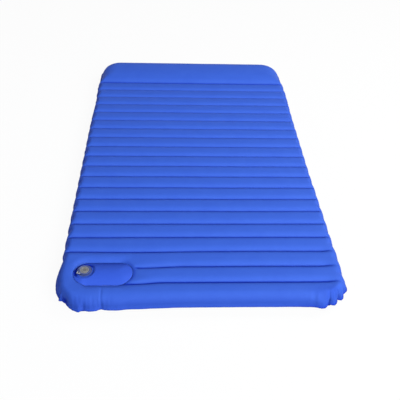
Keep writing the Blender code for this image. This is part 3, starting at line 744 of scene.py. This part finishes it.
def clothMark(x, y, inward, sign):
    # 0 is the cloth's plain colour and 1 its dark one: the weld lines, and the painted shade in creases,
    # grooves, corners and along the walls
    onRight = smoothStep((x - marks["hemRightFrom"]) / marks["hemRightOver"])
    edgeLine = between(marks["hemLeft"], marks["hemRight"], onRight) * bump(inward, marks["hemWidth"])
    found = [edgeLine, strip(inward, marks["wall"])]
    if y < footY + marks["cornerLength"]:
        run = cornerRun(x, y)
        if x > 0:
            fade = 1 - smoothStep((inward - marks["rightCornerDepth"]) / marks["rightCornerFade"])
            found.append(strip(run, marks["rightCornerShade"]) * fade)
        else:
            found.append(strip(run, marks["leftCornerShade"]) * strip(inward, marks["leftCornerIn"]))
    if seamYs[0] - marks["seamReach"] < y < seamYs[-1] + marks["seamReach"]:
        found.append(seamMark(x, y, sign))
    distance = pumpDistance(x, y)
    if sign > 0 and 0 <= distance < marks["pumpNearReach"]:
        nearSide = smoothStep((pumpMiddle.y - y) / pump["radius"])
        leftEnd = smoothStep((pumpMiddle.x - pump["run"] / 2 - x) / marks["pumpLeftOver"])
        nearSide *= (1 - marks["pumpNearLeft"] * leftEnd) * (1 - marks["pumpNearRight"] * rightShare(x, y))
        found.append(nearSide * strip(distance, marks["pumpNearShade"]))
    if sign > 0 and 0 <= distance < marks["pumpRightReach"]:
        found.append(rightShare(x, y) * strip(distance, marks["pumpRight"]))
    return max(found)


def markCloth(bm):
    # the cloth's own flat map, and room for its weld darkening and painted shade
    cut = bm.loops.layers.uv.new("cut")
    for face in bm.faces:
        for loop in face.loops:
            loop[cut].uv = (loop.vert.co.x, loop.vert.co.y)
    return bm.verts.layers.float.new("weldAndShade")


def shapeSkin(bm, heightAt, sign):
    # sign is 1 for the upper skin and -1 for the lower one
    weldAndShade = markCloth(bm)
    for vert in bm.verts:
        x, y = vert.co.x, vert.co.y
        inward = edgePlace(x, y)[0]
        z = heightAt(x, y)
        pull = crease = notch = 0.0
        onTubeEnd = seamYs[0] < y < seamYs[-1] and inward < scallops["reach"]
        if onTubeEnd and not (y < pumpPatchTop and x < 0):
            pull, crease = tubeEndMoves(x, y, inward)
        pull += sideMove(x, y)
        if y < footY + corners["length"]:
            smooth, notch, cornerCrease, droop = cornerMoves(x, y, inward)
            pull += smooth
            crease += cornerCrease
            z -= droop
        z -= hem["sag"] * (1 - smoothStep(inward / hem["sagReach"]))
        if inward < hem["waveReach"]:
            waveX = x * hem["waveScale"] + hem["waveShift"]
            wave = hem["wave"] * soft(waveX, y * hem["waveScale"], hem["waveSize"], seed=4.0)
            z += wave * (1 - smoothStep(inward / hem["waveReach"]))
        vert[weldAndShade] = clothMark(x, y, inward, sign)
        into = inwardNormal(x, y)
        moved = pull * (1 - smoothStep(inward / corners["reach"])) + notch + corners["creasePull"] * crease
        full = min(1.0, abs(z - pad["weldZ"]) / hem["creaseRise"])
        vert.co = (x + into.x * moved, y + into.y * moved, z - sign * crease * full)


def thickCloth(name, bm, material, thickness):
    # the sheet gets its thickness on its inner side
    piece = makeObject(name, bm, material)
    addModifier(piece, "cloth", "SOLIDIFY", thickness=thickness, offset=-1, use_even_offset=False)
    applyModifiers(piece)
    return piece


def ontoPumpOutline(point, radius):
    # the nearest point of a pill of this radius that lies round the pump's middle line
    spine = max(min(point.x - pumpMiddle.x, pump["run"] / 2), -pump["run"] / 2)
    centre = Vector((pumpMiddle.x + spine, pumpMiddle.y, 0))
    return centre + (point - centre).normalized() * radius


def skinSheet(tubeShares, columnStep, pumpStep):
    bm = gridSheet(*gridLines(tubeShares, columnStep, pumpStep))
    for vert in bm.verts:
        vert.co.x, vert.co.y = roundCorner(vert.co.x, vert.co.y)
    return bm


def buildUpperSkin():
    bm = skinSheet(skin["upperShares"], skin["columnStep"], skin["pumpColumnStep"])
    # opening for the foot pump, its edge drawn onto the pump's outline
    middles = {face: face.calc_center_median() for face in bm.faces}
    inside = [face for face, middle in middles.items() if pumpDistance(middle.x, middle.y) < 0]
    bmesh.ops.delete(bm, geom=inside, context="FACES")
    rim = []
    for vert in bm.verts:
        if vert.is_boundary and pumpDistance(vert.co.x, vert.co.y) < skin["openingReach"]:
            vert.co = ontoPumpOutline(vert.co, pump["radius"])
            rim.append(vert)
    shapeSkin(bm, topHeight, 1)
    rimEdges = [e for e in bm.edges if e.is_boundary and all(v in rim for v in e.verts)]
    turned = bmesh.ops.extrude_edge_only(bm, edges=rimEdges)
    down = [v for v in turned["geom"] if isinstance(v, bmesh.types.BMVert)]
    bmesh.ops.translate(bm, vec=(0, 0, -skin["turnDown"]), verts=down)
    bmesh.ops.recalc_face_normals(bm, faces=bm.faces[:])
    return thickCloth("upper_skin", bm, padFabric, pad["clothThickness"])


under = {
    "seamRise": 0.0148,
    "seamHalf": 0.026,  # half the width of that rise
    "seamSharpness": 1.4,
    "seamStart": 0.014,  # in from the side
    "seamRun": 0.022,
    "footDepth": 0.080,  # how far in the lower skin lies flat at the foot end
    "footGain": 2.2,  # how soon a corner counts as foot end, going round it
    "tipPower": 1.8,  # the foot end's profile is less round than a quarter circle
    "cornerWidth": 0.45,
    "frontShare": 0.3,  # and between the corners only by this share of that
}


def underHeight(x, y):
    # the lower skin lies flat where it rests on the ground, between seams that rise
    inward, endShare = edgePlace(x, y)
    nearest = min(abs(y - s) for s in seamYs)
    share = max(0.0, 1 - nearest / under["seamHalf"])
    seamEnd = smoothStep((halfX - abs(x) - under["seamStart"]) / under["seamRun"])
    low = under["seamRise"] * share ** under["seamSharpness"] * seamEnd
    foot = smoothStep(under["footGain"] * endShare) if y < 0 else 0.0
    depth = between(pad["sideDepth"], under["footDepth"], foot)
    share = min(max((inward - pad["weldWidth"]) / (depth - pad["weldWidth"]), 0.0), 1.0)
    inCorner = inward < pad["cornerRadius"] and 0 < endShare < 1
    tip = bump(abs(endShare - 0.5), under["cornerWidth"]) if inCorner else under["frontShare"]
    pointed = (1 - (1 - share) ** under["tipPower"] - roundShare(share)) * foot * tip
    drop = (pad["weldZ"] - low) * (roundShare(share) + pointed)
    return pad["weldZ"] - max(drop, pad["clothThickness"])


def buildLowerSkin():
    bm = skinSheet(skin["lowerShares"], skin["lowerColumnStep"], skin["lowerColumnStep"])
    shapeSkin(bm, underHeight, -1)
    for vert in bm.verts:
        vert.co.z = max(vert.co.z, 0.0)
    bmesh.ops.recalc_face_normals(bm, faces=bm.faces[:])
    if sum(f.normal.z * f.calc_area() for f in bm.faces) > 0:
        bmesh.ops.reverse_faces(bm, faces=bm.faces[:])
    return thickCloth("lower_skin", bm, padFabric, pad["clothThickness"])


upperSkin = buildUpperSkin()
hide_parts("top_skin")
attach(upperSkin, "root")

lowerSkin = buildLowerSkin()
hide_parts("bottom_skin")
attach(lowerSkin, "root")
print("skins made:", len(upperSkin.data.polygons), len(lowerSkin.data.polygons), "faces")


# Foot pump cover: a domed pill of the same cloth, hollow round the valve

cover = {
    "step": 0.0028,
    "thickness": 0.0008,
    "hemWidth": 0.0008,
    "holeRadius": 0.0189,
    "least": 0.0012,  # the cover stays this far over the rim
    "wrinkle": 0.0006,
    "wrinkleSize": 0.030,
    "wrinkleRun": 0.020,  # in from the edge, where the wrinkles have their full depth
    "moat": 0.0085,  # depth of the dip round the valve's seat, towards the far left
    "moatMiddle": 0.0395,
    "moatWidth": 0.0062,
    "moatSide": math.radians(128),
    "moatLead": 0.5,
    "moatGain": 0.9,
    # painted shade, as on the skins
    "moatShade": 1.6,
    "farEdgeShade": (1.0, 0.002, 0.0045),  # painted shade in from the far edge, which slopes away from the light
    "farShade": (0.30, 0.012, 0.014),
    "farGain": 1.6,
    "farRight": 0.85,  # the share that is lost at the right end
}


def valveDistance(x, y):
    return math.hypot(x - valveMiddle.x, y - valveMiddle.y)


def moatShare(x, y):
    # 1 on the far left side of the valve, 0 on the side of the foot
    toValve = Vector((x - valveMiddle.x, y - valveMiddle.y))
    facing = math.cos(math.atan2(toValve.y, toValve.x) - cover["moatSide"])
    side = smoothStep(cover["moatLead"] + cover["moatGain"] * facing)
    return bump(toValve.length - cover["moatMiddle"], cover["moatWidth"]) * side


def coverHeight(x, y):
    inset = -pumpDistance(x, y) - pumpGap
    edge = pumpEdgeZ(x, y) - pump["rimZ"]
    share = min(max(inset - cover["hemWidth"], 0.0) / (pump["shoulder"] - cover["hemWidth"]), 1.0)
    lean = 1 + pump["lean"] * (pumpMiddle.y - y) / pump["radius"] * 4 * share * (1 - share)
    dome = between(edge, pump["crown"], min((1 - (1 - share) ** 2) * lean, 1.0))
    away = smoothStep((valveDistance(x, y) - pump["seatFlat"]) / (pump["hollow"] - pump["seatFlat"]))
    height = between(pump["seatRise"], dome, away)
    if away > 0:
        wrinkle = cover["wrinkle"] * soft(x, y, cover["wrinkleSize"], seed=7.0)
        height += wrinkle * min(1.0, inset / cover["wrinkleRun"]) * away
        height -= cover["moat"] * moatShare(x, y)
    return pump["rimZ"] + max(height, cover["least"])


# painted shade: a dark line and a wider shade along the far edge, and the dark dip round the valve's seat
def coverMark(x, y):
    inset = -pumpDistance(x, y) - pumpGap
    farSide = smoothStep(cover["farGain"] * (y - pumpMiddle.y) / pump["radius"])
    farEdgeShade = farSide * max(strip(inset, cover["farEdgeShade"]), strip(inset, cover["farShade"]))
    farEdgeShade *= 1 - cover["farRight"] * rightShare(x, y)
    return max(farEdgeShade, min(1.0, cover["moatShade"] * moatShare(x, y)))


def sheetOverPump(radius, step):
    # a flat grid, a little larger than a pill of this radius round the pump's middle line
    bm = bmesh.new()
    wide = pump["run"] + 2 * radius + 4 * step
    deep = 2 * radius + 4 * step
    bmesh.ops.create_grid(bm, x_segments=round(wide / step), y_segments=round(deep / step), size=0.5)
    bmesh.ops.scale(bm, vec=(wide, deep, 1), verts=bm.verts)
    bmesh.ops.translate(bm, vec=(pumpMiddle.x, pumpMiddle.y, 0), verts=bm.verts)
    return bm


def cutToPump(bm, inset, holeRadius, step):
    # cuts the sheet to the pump's outline and the valve's hole, and draws the cut edges onto both
    def cutAway(face):
        middle = face.calc_center_median()
        return pumpDistance(middle.x, middle.y) > -inset or valveDistance(middle.x, middle.y) < holeRadius

    bmesh.ops.delete(bm, geom=[f for f in bm.faces if cutAway(f)], context="FACES")
    for vert in bm.verts:
        if not vert.is_boundary:
            continue
        toValve = Vector((vert.co.x - valveMiddle.x, vert.co.y - valveMiddle.y, 0))
        wellInside = -pumpDistance(vert.co.x, vert.co.y) > inset + step
        if wellInside and toValve.length < holeRadius + 1.5 * step:
            vert.co = Vector((valveMiddle.x, valveMiddle.y, 0)) + toValve.normalized() * holeRadius
        else:
            vert.co = ontoPumpOutline(vert.co, pump["radius"] - inset)


def buildCover():
    bm = sheetOverPump(pump["radius"], cover["step"])
    cutToPump(bm, pumpGap, cover["holeRadius"], cover["step"])
    weldAndShade = markCloth(bm)
    for vert in bm.verts:
        vert[weldAndShade] = coverMark(vert.co.x, vert.co.y)
        vert.co.z = coverHeight(vert.co.x, vert.co.y)
    bmesh.ops.recalc_face_normals(bm, faces=bm.faces[:])
    return thickCloth("foot_pump_cover", bm, coverFabric, cover["thickness"])


pumpCover = buildCover()
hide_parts("pump_cover")
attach(pumpCover, "pump")
print("pump cover made")


# Valve cap trim: a dark rim with ribs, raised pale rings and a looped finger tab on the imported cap

capTop = cadBoxOf("valve_cap")[1].z
valveTurn = Matrix.Translation((valveMiddle.x, valveMiddle.y, 0)) @ Matrix.Rotation(pump["valveTurn"], 4, "Z")


def addRing(bm, radius, bead, height, count=64, sides=8):
    # a thin torus: a small circle spun round the valve's axis
    circle = bmesh.ops.create_circle(bm, segments=sides, radius=bead)["verts"]
    bmesh.ops.rotate(bm, verts=circle, cent=(0, 0, 0), matrix=Matrix.Rotation(math.pi / 2, 3, "X"))
    bmesh.ops.translate(bm, verts=circle, vec=(radius, 0, height))
    edges = list({e for v in circle for e in v.link_edges})
    bmesh.ops.spin(bm, geom=circle + edges, cent=(0, 0, 0), axis=(0, 0, 1), angle=2 * math.pi, steps=count,
                   use_merge=True)


def addBar(bm, start, end, radius):
    # a round-ended bar between two points
    run = Vector(end) - Vector(start)
    turn = run.to_track_quat("Z", "Y").to_matrix().to_4x4()
    bmesh.ops.create_cone(bm, cap_ends=True, segments=12, radius1=radius, radius2=radius, depth=run.length,
                          matrix=Matrix.Translation((Vector(start) + Vector(end)) / 2) @ turn)
    for point in (start, end):
        bmesh.ops.create_icosphere(bm, subdivisions=2, radius=radius, matrix=Matrix.Translation(point))


def finishOnCap(name, bm, material):
    # the pieces are made round the middle of the valve, with the hinge at +x, and then put in place
    bmesh.ops.recalc_face_normals(bm, faces=bm.faces[:])
    bmesh.ops.transform(bm, matrix=valveTurn, verts=bm.verts)
    return makeObject(name, bm, material)


capMerge = 0.00002
capRim = {
    "radius": 0.0236,
    "bead": 0.0015,
    "sink": 0.0004,  # how far the bead's middle lies under the cap's top
    "ribs": 10,
    "ribFrom": 0.0172,
    "ribTo": 0.0228,
    "ribBead": 0.0004,
    "ribSink": 0.0007,
    "bumpAt": 0.0245,  # two bumps beside the hinge, clear of the plug's barrels at every angle
    "bumpFrom": 0.0022,
    "bumpTo": 0.0052,
    "bumpBead": 0.0013,
}


def buildCapRim():
    bm = bmesh.new()
    beadZ = capTop - capRim["sink"]
    addRing(bm, capRim["radius"], capRim["bead"], beadZ)
    level = Vector((0, 0, capTop - capRim["ribSink"]))
    for step in range(capRim["ribs"]):
        angle = 2 * math.pi * step / capRim["ribs"]
        way = Vector((math.cos(angle), math.sin(angle), 0))
        addBar(bm, way * capRim["ribFrom"] + level, way * capRim["ribTo"] + level, capRim["ribBead"])
    for side in (-1, 1):
        start = (capRim["bumpAt"], side * capRim["bumpFrom"], beadZ)
        addBar(bm, start, (capRim["bumpAt"], side * capRim["bumpTo"], beadZ), capRim["bumpBead"])
    bmesh.ops.remove_doubles(bm, verts=bm.verts, dist=capMerge)
    return finishOnCap("cap_rim", bm, ringPlastic)


capTrim = {
    "ringRadii": (0.0165, 0.0105),
    "ringBead": 0.0006,
    "sink": 0.0006,
    "tabStart": 0.0225,
    "tabReach": 0.0345,
    "tabHalf": 0.0085,
    "tabBead": 0.0014,
    "tipRise": 0.0006,  # the loop stands up a little at its tip
}


def buildCapTrim():
    bm = bmesh.new()
    lowZ = capTop - capTrim["sink"]
    for radius in capTrim["ringRadii"]:
        addRing(bm, radius, capTrim["ringBead"], lowZ, 48, 6)
    tip = (-capTrim["tabReach"], 0, capTop + capTrim["tipRise"])
    for side in (-1, 1):
        addBar(bm, (-capTrim["tabStart"], side * capTrim["tabHalf"], lowZ), tip, capTrim["tabBead"])
    bmesh.ops.remove_doubles(bm, verts=bm.verts, dist=capMerge)
    return finishOnCap("cap_trim", bm, palePlastic)


hinge = {
    "pinAt": 0.0278,
    "pinFrom": 0.0060,
    "pinTo": 0.0068,
    "pinBead": 0.0011,
    "sink": 0.0021,
    "loopShadeAt": 0.0262,  # a dark sheet in the finger loop, painted shade of the gap under it
    "loopShadeRadius": 0.0078,
    "loopShadeThickness": 0.0008,
    "loopShadeRise": 0.0002,
}


def buildHingePinsAndLoopShade():
    # the hinge's two dark pin ends, and a dark sheet in the finger loop as painted shade of its gap
    bm = bmesh.new()
    pinZ = capTop - hinge["sink"]
    for side in (-1, 1):
        start = (hinge["pinAt"], side * hinge["pinFrom"], pinZ)
        addBar(bm, start, (hinge["pinAt"], side * hinge["pinTo"], pinZ), hinge["pinBead"])
    loopShade = bmesh.ops.create_cone(bm, cap_ends=True, segments=3, radius1=hinge["loopShadeRadius"],
                                  radius2=hinge["loopShadeRadius"], depth=hinge["loopShadeThickness"])["verts"]
    bmesh.ops.rotate(bm, verts=loopShade, cent=(0, 0, 0), matrix=Matrix.Rotation(math.pi / 2, 3, "Z"))
    bmesh.ops.translate(bm, verts=loopShade, vec=(-hinge["loopShadeAt"], 0, capTop + hinge["loopShadeRise"]))
    return finishOnCap("cap_hinge_pins_and_loop_shade", bm, plugPlastic)


capRimPiece = buildCapRim()
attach(capRimPiece, "cap")
capTrimPiece = buildCapTrim()
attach(capTrimPiece, "cap")
hingePinsAndLoopShade = buildHingePinsAndLoopShade()
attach(hingePinsAndLoopShade, "cap")
print("cap trim made")


# Foam block inside the pump, hollow round the valve

foamLow, foamHigh = cadBoxOf("pump_foam")
foam = {
    "well": 0.0530,  # radius of the hollow
    "inset": 0.0072,  # from the pump's outline
    "toCover": 0.0080,
    "step": 0.006,
    "round": 0.0015,
    "crumb": 0.0006,
    "crumbSize": 0.006,
}


def buildFoam():
    # a domed sheet cut to the pump's outline, then drawn down to the cup's floor
    bm = sheetOverPump(pump["radius"] - foam["inset"], foam["step"])
    cutToPump(bm, foam["inset"], foam["well"], foam["step"])
    for vert in bm.verts:
        crumb = foam["crumb"] * soft(vert.co.x, vert.co.y, foam["crumbSize"], seed=2.0)
        top = min(coverHeight(vert.co.x, vert.co.y), foamHigh.z + foam["toCover"])
        vert.co.z = top - foam["toCover"] + crumb
    drawn = bmesh.ops.extrude_face_region(bm, geom=bm.faces[:], use_keep_orig=True)
    for item in drawn["geom"]:
        if isinstance(item, bmesh.types.BMVert):
            item.co.z = foamLow.z
    bmesh.ops.recalc_face_normals(bm, faces=bm.faces[:])
    block = makeObject("pump_foam_block", bm, foamMaterial)
    addModifier(block, "round", "BEVEL", width=foam["round"], segments=2, limit_method="ANGLE",
                angle_limit=math.radians(60))
    applyModifiers(block)
    return block


foamPiece = buildFoam()
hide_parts("pump_foam")
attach(foamPiece, "root")
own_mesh(foamPiece)
print("foam block made")


# CAD nodes that stay, with their finishes

def dress(node, material):
    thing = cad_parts[node]
    thing.data.materials.clear()
    thing.data.materials.append(material)


for number in range(1, 21):
    dress(f"baffle_{number:02d}", innerFabric)
dress("pump_chamber", innerFabric)
dress("valve_flange", ringPlastic)
dress("valve_plug", plugPlastic)
dress("valve_cap", capPlastic)
dress("intake_flap", flapRubber)
dress("outlet_seat", ringPlastic)
dress("outlet_flap", flapRubber)


# Floor, light and camera

studio = {
    "floor": "868686",
    "floorZ": -0.0004,
    "floorGlow": 0.86,  # share of plain white the camera sees, the rest keeps the shadow
    "glowStrength": 1.095,
    "skyStrength": 0.04,
    # each light's place, size, power (W) and colour, all aimed at the floor's middle
    "lights": {
        "key_softbox": ((3.6, -6.4, 4.8), (6.6, 5.0), 1270.0, (1.0, 1.0, 1.0)),
        "side_softbox": ((2.6, 0.2, 3.6), (2.4, 2.4), 140.0, (1.0, 1.0, 1.0)),
        "left_softbox": ((-4.2, -0.6, 1.4), (3.6, 1.6), 50.0, (0.35, 0.5, 1.0)),
    },
}


def seenRays(tree):
    # 1 for what the camera sees, straight or by reflection or through something clear
    rays = addNode(tree, "ShaderNodeLightPath")
    seen = rays.outputs["Is Camera Ray"]
    for name in ("Is Glossy Ray", "Is Transmission Ray"):
        either = addNode(tree, "ShaderNodeMath", {"operation": "MAXIMUM"})
        tree.links.new(seen, either.inputs[0])
        tree.links.new(rays.outputs[name], either.inputs[1])
        seen = either.outputs["Value"]
    return seen


def buildFloor():
    bm = bmesh.new()
    bmesh.ops.create_grid(bm, x_segments=1, y_segments=1, size=30)
    made, tree, shader = newMaterial("white_paper_floor", {"Roughness": 0.9})
    shader.inputs["Base Color"].default_value = linear(studio["floor"])
    glow = addNode(tree, "ShaderNodeEmission", {"Strength": studio["glowStrength"]})
    mixed = addNode(tree, "ShaderNodeMixShader")
    part = addNode(tree, "ShaderNodeMath", {"operation": "MULTIPLY"})
    tree.links.new(seenRays(tree), part.inputs[0])
    part.inputs[1].default_value = studio["floorGlow"]
    tree.links.new(part.outputs["Value"], mixed.inputs[0])
    tree.links.new(shader.outputs["BSDF"], mixed.inputs[1])
    tree.links.new(glow.outputs["Emission"], mixed.inputs[2])
    tree.links.new(mixed.outputs["Shader"], tree.nodes["Material Output"].inputs["Surface"])
    floor = makeObject("floor", bm, made, smooth=False)
    for vert in floor.data.vertices:
        vert.co.z = studio["floorZ"]


def areaLight(name, place, size, power, colour):
    data = bpy.data.lights.new(name, "AREA")
    data.shape = "RECTANGLE"
    data.size, data.size_y = size
    data.energy = power
    data.color = colour
    made = bpy.data.objects.new(name, data)
    bpy.context.scene.collection.objects.link(made)
    made.location = place
    made.rotation_euler = (-Vector(place)).to_track_quat("-Z", "Y").to_euler()


buildFloor()
for lightName, lightValues in studio["lights"].items():
    areaLight(lightName, *lightValues)

world = bpy.data.worlds.new("studio")
bpy.context.scene.world = world
world.use_nodes = True
tree = world.node_tree
background = tree.nodes["Background"]
background.inputs["Color"].default_value = (1, 1, 1, 1)
skyLevel = addNode(tree, "ShaderNodeMapRange", {"To Min": studio["skyStrength"], "To Max": 1.0})
tree.links.new(seenRays(tree), skyLevel.inputs["Value"])
tree.links.new(skyLevel.outputs["Result"], background.inputs["Strength"])

view = {
    "place": Vector((-0.1270, -2.4508, 1.8170)),
    "yaw": 0.06715,  # radians, fitted to the photograph's seams and sides
    "pitch": 0.69906,
    "roll": 0.04519,
    "lens": 50.0,  # mm, on a sensor of 36 mm
    "sensor": 36.0,
    "farthest": 100.0,
}
level = math.cos(view["pitch"])
forward = Vector((math.sin(view["yaw"]) * level, math.cos(view["yaw"]) * level, -math.sin(view["pitch"])))
right = Vector((math.cos(view["yaw"]), -math.sin(view["yaw"]), 0))
up = right.cross(forward)
rolledRight = math.cos(view["roll"]) * right + math.sin(view["roll"]) * up
rolledUp = math.cos(view["roll"]) * up - math.sin(view["roll"]) * right
cameraData = bpy.data.cameras.new("camera")
cameraData.lens = view["lens"]
cameraData.sensor_width = view["sensor"]
cameraData.clip_end = view["farthest"]
camera = bpy.data.objects.new("camera", cameraData)
bpy.context.scene.collection.objects.link(camera)
camera.matrix_world = Matrix((
    (rolledRight.x, rolledUp.x, -forward.x, view["place"].x),
    (rolledRight.y, rolledUp.y, -forward.y, view["place"].y),
    (rolledRight.z, rolledUp.z, -forward.z, view["place"].z),
    (0, 0, 0, 1),
))
bpy.context.scene.camera = camera
bpy.context.scene.view_settings.view_transform = "Standard"
print("floor, lights and camera set")
